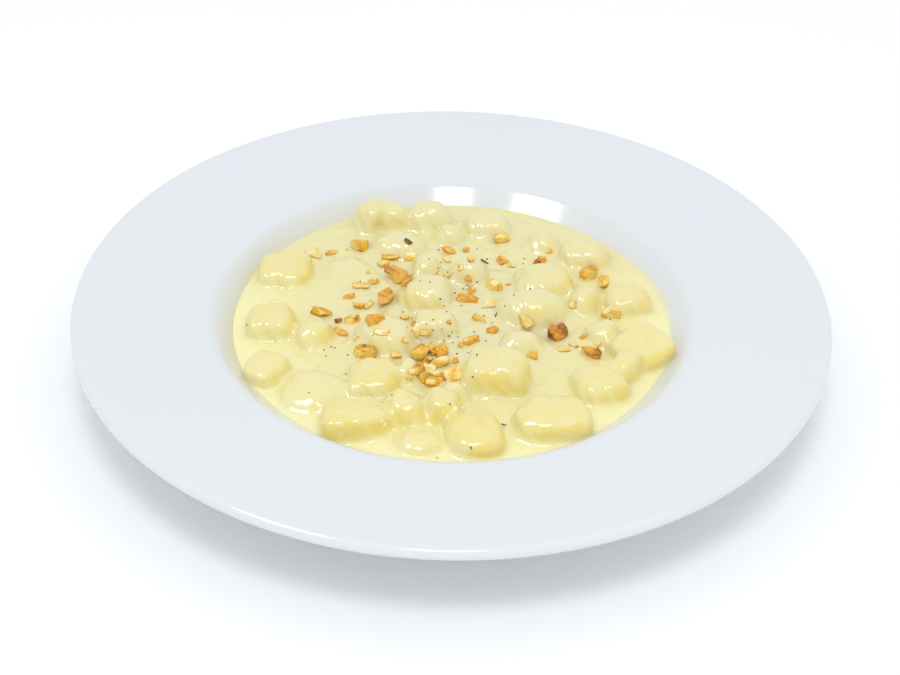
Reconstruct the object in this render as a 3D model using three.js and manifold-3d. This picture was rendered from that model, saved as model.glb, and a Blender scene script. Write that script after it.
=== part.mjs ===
// Potato gnocchi in a pale cream sauce with chopped walnuts, served in a wide-rimmed porcelain pasta plate.
// Millimetres, +Z up, origin on the table under the middle of the plate.

import * as THREE from 'three';
import { mergeVertices } from 'three/addons/utils/BufferGeometryUtils.js';
import Module from 'manifold-3d';

const wasm = await Module();
wasm.setup();

// Plate. Each pair is a radius from the plate's axis and a height above the table. The corner between the well and
// the rim is eased over a share of the rim's width and of the bare wall's. The wall's underside runs WALL_SHIFT
// farther out and down.
const LIP = { radius: 145, height: 36.4, round: 2.4 };
const WELL_EDGE = { radius: 93.4, height: 29.1, onRim: 0.06, onWall: 0.27 };
const SAUCE_LINE = { radius: 85, height: 21.4 };
const FLOOR = { radius: 58, height: 7.5, bend: 15, steepening: 9, underBend: 21 };
const FOOT = { outer: 62.5, inner: 56, height: 2.6, chamfer: 0.8 };
const THICKNESS = 5;
const WALL_SHIFT = 3.75;
const RIM_SAG = 0.9;
const PLATE_SIDES = 54;

// Sauce: the mound in the middle, the depth of its ripples, their lengths, and the spacing of its grid.
const GAP = 0.3;
const MOUND = 2.2;
const RIPPLE = 0.35;
const RIPPLE_LENGTHS = { across: 75, away: 88, aslant: 107 };
const SAUCE_SQUARE = 20;

// Gnocchi: every piece rests on a thin bed of sauce over the plate. Its sides swell twice and three times round.
const BED = 1.3;
const PIECE_SIDES = 12;
const PIECE_LATITUDES = [-45, 5, 35, 62];
const UNEVEN = { twice: 0.035, thrice: 0.025 };
const SEAT = 0.3;

// Chopped walnut: how far a corner may be from the middle, as a share of the half size, and how deep the smaller
// bits are set in the sauce, as a share of their thickness.
const CHOP = { least: 0.9, most: 1.3 };
const BIT_LIFT = 0.1;

// Each gnocco: place across (x) and away (y), length, width, turn of its length in degrees, rise of its top over
// the sauce, its form and, where its top slopes, by how many degrees and which way it falls.
const GNOCCHI = [
  [-35.5, 65.5, 13, 12, 50, 12, 'block', 18, 10],
  [-25.5, 66.5, 12, 12, 0, 10, 'blunt'],
  [-10.5, 68.5, 19, 16, 0, 11, 'gable'],
  [-1.5, 54.5, 13, 12, 0, 7, 'round'],
  [14.5, 64.5, 21, 14, 0, 7, 'blunt'],
  [37.5, 52, 16, 14, -20, 6, 'round'],
  [54.5, 43, 21, 15, -25, 8, 'blunt'],
  [-67.5, 28, 21, 19, 0, 7, 'block', 6, -100],
  [-22.5, 46, 22, 17, -15, 7, 'blunt'],
  [-10.5, 30, 14, 13, 90, 7, 'round'],
  [-10.5, 10.5, 22, 19, 0, 9, 'blunt'],
  [6.5, 26, 17, 14, 0, 9, 'round'],
  [36.5, 22, 24, 20, 0, 8, 'blunt'],
  [31.5, 1.5, 28, 20, -5, 10, 'round'],
  [52.5, 9.5, 15, 13, 70, 8, 'round'],
  [69.5, 10.5, 17, 16, 15, 8, 'block', 6, -60],
  [73, -22, 20, 20, 42, 9, 'block', 14, -105],
  [58.5, -11.5, 15, 13, 90, 7, 'round'],
  [-69.5, -9.5, 18, 18, 90, 8, 'block', 6, 180],
  [-52.5, -16.5, 15, 14, 0, 7, 'blunt'],
  [-68.5, -38, 16, 15, 60, 7, 'blunt'],
  [-49.5, -49, 24, 23, -10, 5, 'round'],
  [-28.5, -43, 19, 19, 90, 7, 'block', 5, -90],
  [-25.5, -17.5, 23, 19, -10, 9, 'blunt'],
  [-6.5, -10.5, 18, 13, 0, 8, 'block'],
  [-15.5, -39, 11, 9, 90, 7, 'round'],
  [26.5, -19, 17, 14, 0, 6, 'round'],
  [17.5, -40, 24, 21, -8, 12, 'block', 6, -150],
  [55.5, -44, 21, 18, 10, 8, 'blunt'],
  [65.5, -34, 13, 10, 60, 9, 'blunt'],
  [-34.5, -67.5, 24, 17, 12, 9, 'block', 5, 90],
  [-16.5, -61.5, 17, 15, 90, 9, 'blunt'],
  [-3.5, -60.5, 15, 14, 90, 10, 'blunt', 10, 0],
  [1.5, -50, 12, 10, 0, 6, 'round'],
  [-10.5, -76.5, 16, 12, 0, 4, 'round'],
  [9.5, -74.5, 20, 19, 10, 8, 'blunt', 6, -90],
  [37.5, -64.5, 28, 20, 5, 9, 'blunt'],
  [-43.5, 31, 19, 17, 0, 3, 'round'],
];

// Walnut. The larger pieces: place across and away, height of the middle over the sauce, length, width, thickness
// and turn in degrees.
const WALNUTS = [
  [-38.5, 47, 1.8, 10, 7, 6, 0],
  [-26.5, 8.5, 2, 8, 6, 6.5, 40],
  [-23, 25, 2, 10, 8, 6, -15],
  [-33.5, -27, 3, 9.5, 6.5, 5.5, 5],
  [54.5, 30, 1.8, 8, 7, 6, 10],
  [62.5, 2, 3, 7.5, 6, 6, 20],
  [3, -38, 1.8, 10, 7, 6, 20],
  [41.5, -12.5, 2.2, 8.5, 7, 7, 70],
  [28.5, -8.5, 3.5, 7.5, 6, 5, -15],
  [53.5, -23, 1.4, 8, 6, 4.5, -10],
  [-28.5, -16, 8.6, 8, 6, 4.5, 20],
  [15, 6.5, 1.4, 9, 5.5, 4.5, 5],
  [17.5, 19, 1.4, 10, 6, 4.5, -5],
  [21, 56, 2, 8, 5, 4.5, 15],
  [-51, -0.5, 1.4, 9.5, 5, 4.5, -10],
  [-3.5, -24.5, 1.8, 6.5, 6, 5.5, 30],
  [-10.5, -28, 2, 9, 5, 6, 60],
  [61, 24, 1.8, 6.5, 6.5, 6, 45],
  [35.5, 38.5, 1.6, 6.5, 6, 5, 20],
  [-58, 43, 1.2, 8, 5, 4, -15],
];

// Smaller bits, set in the sauce: place across and away, length, width, thickness and turn in degrees.
const BITS = [
  [-40.5, -7.5, 5.5, 5, 4, 20],
  [-50.5, 42, 7, 4, 3, -10],
  [20.5, 38, 5.5, 5, 4, 40],
  [7.5, -20, 5.5, 5, 4, 10],
  [16.5, -11.5, 5.5, 4.5, 3.5, -20],
  [-42.5, -15.5, 6, 3.5, 3, 15],
  [-27.5, 34, 5, 4.5, 3.5, 60],
  [-1.5, 44, 7, 3.5, 3, -25],
  [-5.5, -41, 6.5, 4, 4, 10],
  [-33.5, 3.5, 5.5, 3.5, 3.5, 70],
  [-36.5, 18, 7, 3, 2.5, 5],
  [5.5, 8.5, 7, 3.5, 3.5, 15],
  [11, -5.5, 5.5, 3.5, 3, -5],
  [31.5, -27, 4.5, 4.5, 3, 30],
  [48.5, -15.5, 5, 3.5, 3, 0],
];

// Exponents of the outline seen from above and of the profile seen from the side: 2 is an ellipse, more is squarer.
const FORMS = {
  round: { outline: 2.2, profile: 2.2 },
  blunt: { outline: 2.8, profile: 2.7 },
  block: { outline: 3.6, profile: 3.4 },
  gable: { outline: 2.4, profile: 1.8 },
};

const MATERIALS = {
  porcelain: new THREE.MeshStandardMaterial({ color: 0xeef1f5, roughness: 0.12, metalness: 0 }),
  sauce: new THREE.MeshStandardMaterial({ color: 0xf5efb9, roughness: 0.22, metalness: 0 }),
  gnocco: new THREE.MeshStandardMaterial({ color: 0xecd98c, roughness: 0.3, metalness: 0 }),
  walnut: new THREE.MeshStandardMaterial({ color: 0xc98a3a, roughness: 0.5, metalness: 0 }),
};

const radians = THREE.MathUtils.degToRad;

// A closed mesh, moved by a matrix, as a solid that can be joined and cut.
function solidOf(geometry, matrix = new THREE.Matrix4()) {
  const bare = geometry.clone();
  bare.deleteAttribute('normal');
  bare.deleteAttribute('uv');
  const merged = mergeVertices(bare.applyMatrix4(matrix), 1e-4);
  return new wasm.Manifold(new wasm.Mesh({
    numProp: 3,
    vertProperties: Float32Array.from(merged.attributes.position.array),
    triVerts: Uint32Array.from(merged.index.array),
  }));
}

// The mesh of a solid, carried back into the frame that the matrix places.
function geometryOf(solid, matrix = new THREE.Matrix4()) {
  const mesh = solid.getMesh();
  const geometry = new THREE.BufferGeometry();
  geometry.setAttribute('position', new THREE.Float32BufferAttribute(mesh.vertProperties, 3));
  geometry.setIndex(Array.from(mesh.triVerts));
  geometry.applyMatrix4(matrix.clone().invert());
  geometry.computeVertexNormals();
  return geometry;
}

// The well's inner surface from the plate's axis to the sauce line: a flat floor and a bend.
function wellPoints() {
  const wall = new THREE.Vector2(WELL_EDGE.radius - SAUCE_LINE.radius, WELL_EDGE.height - SAUCE_LINE.height);
  wall.setLength(FLOOR.steepening);
  const path = new THREE.Path();
  path.moveTo(0, FLOOR.height);
  path.lineTo(FLOOR.radius, FLOOR.height);
  path.bezierCurveTo(
    FLOOR.radius + FLOOR.bend, FLOOR.height,
    SAUCE_LINE.radius - wall.x, SAUCE_LINE.height - wall.y,
    SAUCE_LINE.radius, SAUCE_LINE.height,
  );
  return path.getPoints(5);
}

// The plate's whole section: well, rim, lip, underside and foot ring.
function platePoints() {
  const corner = new THREE.Vector2(WELL_EDGE.radius, WELL_EDGE.height);
  const lipCentre = new THREE.Vector2(LIP.radius - LIP.round, LIP.height - LIP.round);
  const rimStart = corner.clone().lerp(new THREE.Vector2(lipCentre.x, LIP.height), WELL_EDGE.onRim);
  const wallEnd = corner.clone().lerp(new THREE.Vector2(SAUCE_LINE.radius, SAUCE_LINE.height), WELL_EDGE.onWall);

  const rim = new THREE.Path();
  rim.moveTo(wallEnd.x, wallEnd.y);
  rim.quadraticCurveTo(corner.x, corner.y, rimStart.x, rimStart.y);
  rim.quadraticCurveTo(
    (rimStart.x + lipCentre.x) / 2, (rimStart.y + LIP.height) / 2 - RIM_SAG,
    lipCentre.x, LIP.height,
  );

  const lip = new THREE.Path();
  lip.absarc(lipCentre.x, lipCentre.y, LIP.round, Math.PI / 2, -Math.PI / 2, true);

  const underside = new THREE.Path();
  underside.moveTo(corner.x + WALL_SHIFT, corner.y - WALL_SHIFT);
  underside.lineTo(SAUCE_LINE.radius + WALL_SHIFT, SAUCE_LINE.height - WALL_SHIFT);
  underside.quadraticCurveTo(FLOOR.radius + FLOOR.underBend, FOOT.height, FOOT.outer + FOOT.chamfer, FOOT.height);
  underside.lineTo(FOOT.outer, FOOT.chamfer);
  underside.lineTo(FOOT.outer - FOOT.chamfer, 0);
  underside.lineTo(FOOT.inner + FOOT.chamfer, 0);
  underside.lineTo(FOOT.inner, FOOT.chamfer);
  underside.lineTo(FOOT.inner - FOOT.chamfer, FLOOR.height - THICKNESS);
  underside.lineTo(0, FLOOR.height - THICKNESS);

  return [...wellPoints(), ...rim.getPoints(3), ...lip.getPoints(3).slice(1), ...underside.getPoints(3)];
}

// A section turned about the plate's axis, with +Z up. The section runs along its inner side first.
function turned(points) {
  const distinct = points.filter((point, i) => i === 0 || point.distanceTo(points[i - 1]) > 1e-3);
  return new THREE.LatheGeometry(distinct.reverse(), PLATE_SIDES).rotateX(Math.PI / 2);
}

// Height of the well's inner surface at a radius.
function wellHeight(radius) {
  const points = wellPoints();
  const next = Math.max(1, points.findIndex((point) => point.x >= radius));
  const [low, high] = [points[next - 1], points[next]];
  return THREE.MathUtils.mapLinear(radius, low.x, high.x, low.y, high.y);
}

// Height of the sauce: a low mound with slow ripples that die away at the wall.
function sauceHeight(x, y) {
  const { across, away, aslant } = RIPPLE_LENGTHS;
  const turns = (distance, length) => (2 * Math.PI * distance) / length;
  const ripple = Math.sin(turns(x, across) + 1) * Math.cos(turns(y, away)) + Math.sin(turns(x + y, aslant));
  const inward = Math.max(0, 1 - (x * x + y * y) / SAUCE_LINE.radius ** 2);
  return SAUCE_LINE.height + inward * (MOUND + RIPPLE * ripple);
}

// The inside of the well, moved off the plate by an offset, with its wall carried on upwards.
function insideOfWell(offset) {
  const well = wellPoints();
  const section = well.map((point, i) => {
    const after = well[Math.min(i + 1, well.length - 1)];
    const before = well[Math.max(i - 1, 0)];
    const along = after.clone().sub(before).normalize();
    return new THREE.Vector2(Math.max(0, point.x - along.y * offset), point.y + along.x * offset);
  });
  const edge = section[section.length - 1];
  const slope = (WELL_EDGE.radius - SAUCE_LINE.radius) / (WELL_EDGE.height - SAUCE_LINE.height);
  const ceiling = 2 * LIP.height;
  const mouth = edge.x + (ceiling - edge.y) * slope;
  return solidOf(turned([new THREE.Vector2(0, ceiling), new THREE.Vector2(mouth, ceiling), ...section.reverse()]));
}

// The sauce before anything lies in it: a block with an uneven top, cut to the well a gap off the plate.
function pool() {
  const side = 2 * LIP.radius;
  const squares = Math.round(side / SAUCE_SQUARE);
  const block = new THREE.BoxGeometry(side, side, LIP.height, squares, squares, 1);
  const position = block.attributes.position;
  for (let i = 0; i < position.count; i += 1) {
    const [x, y, z] = [position.getX(i), position.getY(i), position.getZ(i)];
    position.setZ(i, z > 0 ? sauceHeight(x, y) : -LIP.height);
  }
  return solidOf(block).intersect(insideOfWell(GAP));
}

// A rounded pillow: a superellipsoid of the given full sizes, grown on every side, with an uneven outline.
function pillow(length, width, height, form, phase, grow = 0) {
  const bent = (value, exponent) => Math.sign(value) * Math.abs(value) ** (2 / exponent);
  const positions = [0, 0, -height / 2 - grow];
  for (const latitude of PIECE_LATITUDES.map(radians)) {
    const reach = bent(Math.cos(latitude), form.profile);
    for (let side = 0; side < PIECE_SIDES; side += 1) {
      const angle = (2 * Math.PI * side) / PIECE_SIDES;
      const swell = UNEVEN.twice * Math.sin(2 * angle + phase) + UNEVEN.thrice * Math.sin(3 * angle - 2 * phase);
      const uneven = 1 + swell;
      positions.push(
        bent(Math.cos(angle), form.outline) * reach * ((length / 2) * uneven + grow),
        bent(Math.sin(angle), form.outline) * reach * ((width / 2) * uneven + grow),
        bent(Math.sin(latitude), form.profile) * (height / 2 + grow),
      );
    }
  }
  positions.push(0, 0, height / 2 + grow);

  const top = positions.length / 3 - 1;
  const faces = [];
  for (let side = 0; side < PIECE_SIDES; side += 1) {
    const next = (side + 1) % PIECE_SIDES;
    faces.push(0, 1 + next, 1 + side);
    for (let ring = 1; ring < PIECE_LATITUDES.length; ring += 1) {
      const high = 1 + ring * PIECE_SIDES;
      const low = high - PIECE_SIDES;
      faces.push(low + side, low + next, high + next, low + side, high + next, high + side);
    }
    const last = top - PIECE_SIDES;
    faces.push(last + side, last + next, top);
  }
  const geometry = new THREE.BufferGeometry();
  geometry.setAttribute('position', new THREE.Float32BufferAttribute(positions, 3));
  geometry.setIndex(faces);
  return geometry;
}

// A chopped piece of walnut: an icosahedron of the given full sizes, grown on every side, whose corners are pushed
// in and out by a seeded draw.
function chunk(length, width, thickness, seed, grow = 0) {
  const bare = new THREE.IcosahedronGeometry(1, 0);
  bare.deleteAttribute('normal');
  bare.deleteAttribute('uv');
  const geometry = mergeVertices(bare);
  const position = geometry.attributes.position;
  const half = new THREE.Vector3(length / 2 + grow, width / 2 + grow, thickness / 2 + grow);
  const corner = new THREE.Vector3();
  for (let i = 0; i < position.count; i += 1) {
    const draw = THREE.MathUtils.seededRandom(1 + seed * position.count + i);
    const reach = THREE.MathUtils.lerp(CHOP.least, CHOP.most, draw);
    corner.fromBufferAttribute(position, i).multiply(half).multiplyScalar(reach);
    position.setXYZ(i, ...corner);
  }
  return geometry;
}

// The place of a piece: a point, a turn about the upright and then a lean of its top towards a direction.
function placeAt(x, y, z, turn, lean = 0, towards = 0) {
  const place = new THREE.Object3D();
  place.position.set(x, y, z);
  place.rotation.z = radians(turn);
  const hinge = new THREE.Vector3(-Math.sin(radians(towards)), Math.cos(radians(towards)), 0);
  place.rotateOnWorldAxis(hinge, radians(lean));
  place.updateMatrix();
  return place;
}

// A piece cut clear of what already lies there.
function cutClear(solid, pockets) {
  return pockets.reduce((rest, pocket) => rest.subtract(pocket), solid);
}

// A node of the part, its solid carried into the frame of its place.
function node(name, material, solid, place = placeAt(0, 0, 0, 0)) {
  const mesh = new THREE.Mesh(geometryOf(solid, place.matrix), material);
  mesh.name = name;
  mesh.position.copy(place.position);
  mesh.rotation.copy(place.rotation);
  return mesh;
}

const numbered = (name, i) => `${name}_${String(i + 1).padStart(2, '0')}`;

const part = new THREE.Group();
part.add(node('plate', MATERIALS.porcelain, solidOf(turned(platePoints()))));

// The gnocchi. Where two press together, the later one gives way.
const room = insideOfWell(GAP + BED);
const pockets = [];
GNOCCHI.forEach(([x, y, length, width, turn, rise, form, lean, towards], i) => {
  const seat = Math.min(Math.hypot(x, y) + width * SEAT, SAUCE_LINE.radius);
  const bottom = wellHeight(seat) + GAP + BED;
  const top = sauceHeight(x, y) + rise;
  const place = placeAt(x, y, (bottom + top) / 2, turn, lean, towards);
  const sizes = [length, width, top - bottom, FORMS[form], i];
  const piece = cutClear(solidOf(pillow(...sizes), place.matrix).intersect(room), pockets);
  pockets.push(solidOf(pillow(...sizes, GAP), place.matrix));
  part.add(node(numbered('gnocco', i), MATERIALS.gnocco, piece, place));
});

// The larger walnut pieces, each fitted to the gnocchi that it leans on.
WALNUTS.forEach(([x, y, over, length, width, thickness, turn], i) => {
  const place = placeAt(x, y, sauceHeight(x, y) + over, turn);
  const piece = cutClear(solidOf(chunk(length, width, thickness, i), place.matrix), pockets);
  pockets.push(solidOf(chunk(length, width, thickness, i, GAP), place.matrix));
  part.add(node(numbered('walnut', i), MATERIALS.walnut, piece, place));
});

// The sauce, with the smaller bits fused into its top, cut round everything that lies in it.
const strewn = BITS.reduce((solid, [x, y, length, width, thickness, turn], i) => {
  const place = placeAt(x, y, sauceHeight(x, y) + thickness * BIT_LIFT, turn);
  return solid.add(solidOf(chunk(length, width, thickness, i + WALNUTS.length), place.matrix));
}, pool());
part.add(node('sauce', MATERIALS.sauce, cutClear(strewn, pockets)));

export default part;
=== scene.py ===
from math import radians

import bpy
import numpy as np
from mathutils import Matrix, Vector


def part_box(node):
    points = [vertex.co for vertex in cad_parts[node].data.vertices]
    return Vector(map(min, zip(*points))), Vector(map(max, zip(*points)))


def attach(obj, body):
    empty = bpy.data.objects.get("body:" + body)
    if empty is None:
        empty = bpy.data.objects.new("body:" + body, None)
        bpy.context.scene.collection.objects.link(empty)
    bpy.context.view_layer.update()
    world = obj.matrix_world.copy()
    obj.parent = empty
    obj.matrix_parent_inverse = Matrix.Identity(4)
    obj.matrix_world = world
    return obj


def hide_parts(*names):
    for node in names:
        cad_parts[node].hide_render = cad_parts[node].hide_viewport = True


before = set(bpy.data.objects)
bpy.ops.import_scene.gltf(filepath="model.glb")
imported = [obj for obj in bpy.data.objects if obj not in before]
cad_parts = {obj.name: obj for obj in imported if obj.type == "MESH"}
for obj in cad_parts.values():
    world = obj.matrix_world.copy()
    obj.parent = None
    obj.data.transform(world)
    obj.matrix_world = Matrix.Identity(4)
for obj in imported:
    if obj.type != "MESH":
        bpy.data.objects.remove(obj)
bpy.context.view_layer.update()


# ---- Camera: on a tripod in front of the plate, a little above arm's height, looking down at the food with
# a slightly long lens and turned about one degree on its own axis.
EYE = Vector((0.0, -0.49244, 0.37678))
AIM = Vector((-0.00042, -0.01006, 0.01999))
ROLL = radians(1.17)
VIEW_WIDE, VIEW_HIGH = 900, 675
SENSOR, LENS = 36.0, 61.856

camera = bpy.data.objects.new("camera", bpy.data.cameras.new("camera"))
camera.data.sensor_width, camera.data.lens = SENSOR, LENS
camera.data.clip_start, camera.data.clip_end = 0.01, 20
turned = (AIM - EYE).to_track_quat("-Z", "Y").to_matrix().to_4x4() @ Matrix.Rotation(ROLL, 4, "Z")
camera.matrix_world = Matrix.Translation(EYE) @ turned
bpy.context.scene.collection.objects.link(camera)
bpy.context.scene.camera = camera


# ---- Plate: a wide-rimmed pasta plate of white porcelain, pressed in one piece with a deep well and a foot
# ring, dipped in a clear glaze and fired. The lip is rounded and the rim sags a little between well and lip.
LIP_RADIUS, LIP_HEIGHT, LIP_ROUND = 145.0, 36.4, 2.4
EDGE_RADIUS, EDGE_HEIGHT = 93.4, 29.1
LINE_RADIUS, LINE_HEIGHT = 85.0, 21.4
FLOOR_RADIUS, FLOOR_HEIGHT, FLOOR_BEND = 58.0, 7.5, 15.0
FOOT_OUTER, FOOT_INNER, FOOT_HEIGHT, FOOT_EASE = 62.5, 56.0, 2.6, 0.8
WALL, RIM_SAG = 5.0, 0.9
RIM_START, WALL_END = 0.06, 0.27
WELL_PULL, UNDER_PULL = 0.6, 1.4
UNDER_WALL, UNDER_BEND = 0.75, 0.08
PLATE_COLUMNS, LIP_STEPS, FLOOR_STEPS, WELL_STEPS, POLE = 288, 19, 12, 26, 0.01


def bezier(points, count):
    """Bezier curve: each control point weighted by its Bernstein polynomial, at even steps."""
    points = np.array(points, float)
    step = np.linspace(0, 1, count)[:, None]
    order = len(points) - 1
    choose = np.ones(order + 1)
    for k in range(1, order + 1):
        choose[k] = choose[k - 1] * (order - k + 1) / k
    k = np.arange(order + 1)[None, :]
    return (choose * step ** k * (1 - step) ** (order - k)) @ points


def turned_grid(section, columns):
    """A section of (radius, height) turned about the upright: rings x columns x 3."""
    angle = np.linspace(0, 2 * np.pi, columns, endpoint=False)
    around = np.stack([np.cos(angle), np.sin(angle)], -1)
    flat = section[:, None, :1] * around[None]
    return np.concatenate([flat, np.broadcast_to(section[:, None, 1:], flat.shape[:2] + (1,))], -1)


def closed_faces(rings, columns):
    """Quads between rings that close round, and a fan at each end onto one point."""
    i = np.arange(columns)
    j = (i + 1) % columns
    top = np.stack([np.full(columns, 0), 1 + i, 1 + j], -1)
    row = 1 + columns * np.arange(rings - 1)[:, None]
    quads = np.stack([row + i, row + columns + i, row + columns + j, row + j], -1).reshape(-1, 4)
    last = 1 + columns * (rings - 1)
    end = np.stack([np.full(columns, 1 + columns * rings), last + j, last + i], -1)
    return [top, quads, end]


def closed_points(start, grid, end):
    """The points that closed_faces joins: one end point, the rings in order and the other end point."""
    return np.concatenate([[start], grid.reshape(-1, 3), [end]])


def make_piece(name, points, faces, material, attributes=None, normals=None):
    """A mesh from points in millimetres and arrays of faces, smooth shaded, riding on the plate. Normals may
    be given for its points, and a row of zeros leaves a point's normal to its faces."""
    mesh = bpy.data.meshes.new(name)
    sizes = np.concatenate([np.full(len(f), f.shape[1]) for f in faces])
    corners = np.concatenate([f.ravel() for f in faces])
    mesh.vertices.add(len(points))
    mesh.vertices.foreach_set("co", (np.asarray(points) * 0.001).astype(np.float32).ravel())
    mesh.loops.add(len(corners))
    mesh.loops.foreach_set("vertex_index", corners.astype(np.int32))
    mesh.polygons.add(len(sizes))
    starts = np.concatenate([[0], np.cumsum(sizes)[:-1]])
    mesh.polygons.foreach_set("loop_start", starts.astype(np.int32))
    mesh.polygons.foreach_set("use_smooth", np.ones(len(sizes), bool))
    for title, values in (attributes or {}).items():
        layer = mesh.attributes.new(title, "FLOAT", "POINT")
        layer.data.foreach_set("value", np.asarray(values, np.float32).ravel())
    mesh.update()
    mesh.validate()
    if normals is not None:
        mesh.normals_split_custom_set_from_vertices(normals)
    mesh.materials.append(material)
    piece = bpy.data.objects.new(name, mesh)
    bpy.context.scene.collection.objects.link(piece)
    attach(piece, "root")
    return piece


def linear(colour):
    """An sRGB hex colour as linear red, green, blue and full alpha."""
    parts = [int(colour[i:i + 2], 16) / 255 for i in (1, 3, 5)]
    return [c / 12.92 if c <= 0.04045 else ((c + 0.055) / 1.055) ** 2.4 for c in parts] + [1.0]


def new_material(name):
    """An empty material with no nodes, and its node tree."""
    material = bpy.data.materials.new(name)
    material.use_nodes = True
    material.node_tree.nodes.clear()
    return material, material.node_tree


def add(tree, kind, inputs=None, stops=None, **settings):
    """A node with its settings and ramp stops. Each input is a value or the socket that feeds it."""
    node = tree.nodes.new("ShaderNode" + kind)
    for title, value in settings.items():
        setattr(node, title, value)
    for i, (place, colour) in enumerate(stops or []):
        ramp = node.color_ramp.elements
        stop = ramp[i] if i < len(ramp) else ramp.new(place)
        stop.position, stop.color = place, colour
    for title, value in (inputs or {}).items():
        if isinstance(value, bpy.types.NodeSocket):
            tree.links.new(value, node.inputs[title])
        else:
            node.inputs[title].default_value = value
    return node


# Glazed porcelain: a cool white body under a clear glaze, which gives broad soft reflections that waver a
# little where the glaze ran. On the left, low on the wall by the sauce line, a darker and warmer colour is
# painted in: painted shade, and a painted reflection of the yellow sauce. A pattern's size is in mm, and its
# scale is how many of that size fit in a metre.
BODY_CLOUD, GLAZE_RUN, GLAZE_WAVER = 71.4, 12.5, 0.4
# Painted shade and painted reflection of the yellow sauce on the wall: how strong at the sauce line, the
# heights it fades in over, and where across it fades out.
BOUNCE_SHADE_SHARE = 0.65
BOUNCE_SHADE_FOOT, BOUNCE_SHADE_FULL = 19.5, 21.0
BOUNCE_SHADE_LEFT, BOUNCE_SHADE_RIGHT = -75.0, -20.0

porcelain, tree = new_material("glazed_porcelain")
place = add(tree, "TexCoord").outputs["Object"]
cloud = add(tree, "TexNoise", {"Vector": place, "Scale": 1000 / BODY_CLOUD, "Detail": 2.0})
white = add(tree, "Mix", {
    "Factor": cloud.outputs["Fac"], "A": linear("#dbdee2"), "B": linear("#dee1e4")}, data_type="RGBA")
flat = add(tree, "VectorMath", {0: place, 1: (1, 1, 0)}, operation="MULTIPLY").outputs["Vector"]
from_middle = add(tree, "VectorMath", {0: flat}, operation="LENGTH").outputs["Value"]
axes = add(tree, "SeparateXYZ", {"Vector": place})
# Painted shade and painted reflection of the sauce: a darker, warmer wall, strongest at the sauce line,
# fading up the wall and off to the right.
near_line = add(tree, "MapRange", {
    "Value": from_middle, "From Min": 0.001 * LINE_RADIUS, "From Max": 0.001 * EDGE_RADIUS,
    "To Min": BOUNCE_SHADE_SHARE, "To Max": 0.0})
over_line = add(tree, "MapRange", {
    "Value": axes.outputs["Z"], "From Min": 0.001 * BOUNCE_SHADE_FOOT, "From Max": 0.001 * BOUNCE_SHADE_FULL})
on_left = add(tree, "MapRange", {
    "Value": axes.outputs["X"], "From Min": 0.001 * BOUNCE_SHADE_LEFT, "From Max": 0.001 * BOUNCE_SHADE_RIGHT,
    "To Min": 1.0, "To Max": 0.0})
wall_tint = add(tree, "Math", {
    0: near_line.outputs["Result"], 1: over_line.outputs["Result"]}, operation="MULTIPLY")
wall_tint = add(tree, "Math", {0: wall_tint.outputs["Value"], 1: on_left.outputs["Result"]}, operation="MULTIPLY")
bounce_shaded = add(tree, "Mix", {
    "Factor": wall_tint.outputs["Value"], "A": white.outputs["Result"], "B": linear("#d3cda9")}, data_type="RGBA")
glaze = add(tree, "TexNoise", {"Vector": place, "Scale": 1000 / GLAZE_RUN, "Detail": 1.0})
relief = add(tree, "Bump", {
    "Height": glaze.outputs["Fac"], "Strength": 0.12, "Distance": 0.001 * GLAZE_WAVER})
gloss = add(tree, "MapRange", {"Value": cloud.outputs["Fac"], "To Min": 0.07, "To Max": 0.13})
shader = add(tree, "BsdfPrincipled", {
    "Base Color": bounce_shaded.outputs["Result"], "Roughness": gloss.outputs["Result"], "IOR": 1.5,
    "Normal": relief.outputs["Normal"]})
add(tree, "OutputMaterial", {"Surface": shader.outputs["BSDF"]})

steep = np.array([EDGE_RADIUS - LINE_RADIUS, EDGE_HEIGHT - LINE_HEIGHT])
steep = steep / np.hypot(*steep)
line, edge = np.array([LINE_RADIUS, LINE_HEIGHT]), np.array([EDGE_RADIUS, EDGE_HEIGHT])
lip_middle = np.array([LIP_RADIUS - LIP_ROUND, LIP_HEIGHT - LIP_ROUND])
lip_top = np.array([lip_middle[0], LIP_HEIGHT])
rim_start = edge + RIM_START * (lip_top - edge)
well_section = np.concatenate([
    bezier([(POLE, FLOOR_HEIGHT), (FLOOR_RADIUS, FLOOR_HEIGHT)], FLOOR_STEPS)[:-1],
    bezier([(FLOOR_RADIUS, FLOOR_HEIGHT), (FLOOR_RADIUS + FLOOR_BEND, FLOOR_HEIGHT),
            line - WELL_PULL * FLOOR_BEND * steep, line], WELL_STEPS),
])
wall_end = edge + WALL_END * (line - edge)
rim_middle = (rim_start + lip_top) / 2 - np.array([0, RIM_SAG])
half_turn = np.linspace(np.pi / 2, -np.pi / 2, LIP_STEPS)[1:]
lip_section = lip_middle + LIP_ROUND * np.stack([np.cos(half_turn), np.sin(half_turn)], -1)
lip_end = lip_section[-1]
under = UNDER_WALL * WALL
under_edge = edge + np.array([under, -under])
under_line = line + np.array([under, -under])
under_rim = under_edge + UNDER_BEND * (lip_end - under_edge)
under_middle = 0.5 * (under_edge + under_line)
outer, inner, ease, base = FOOT_OUTER, FOOT_INNER, FOOT_EASE, FLOOR_HEIGHT - WALL

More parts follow.
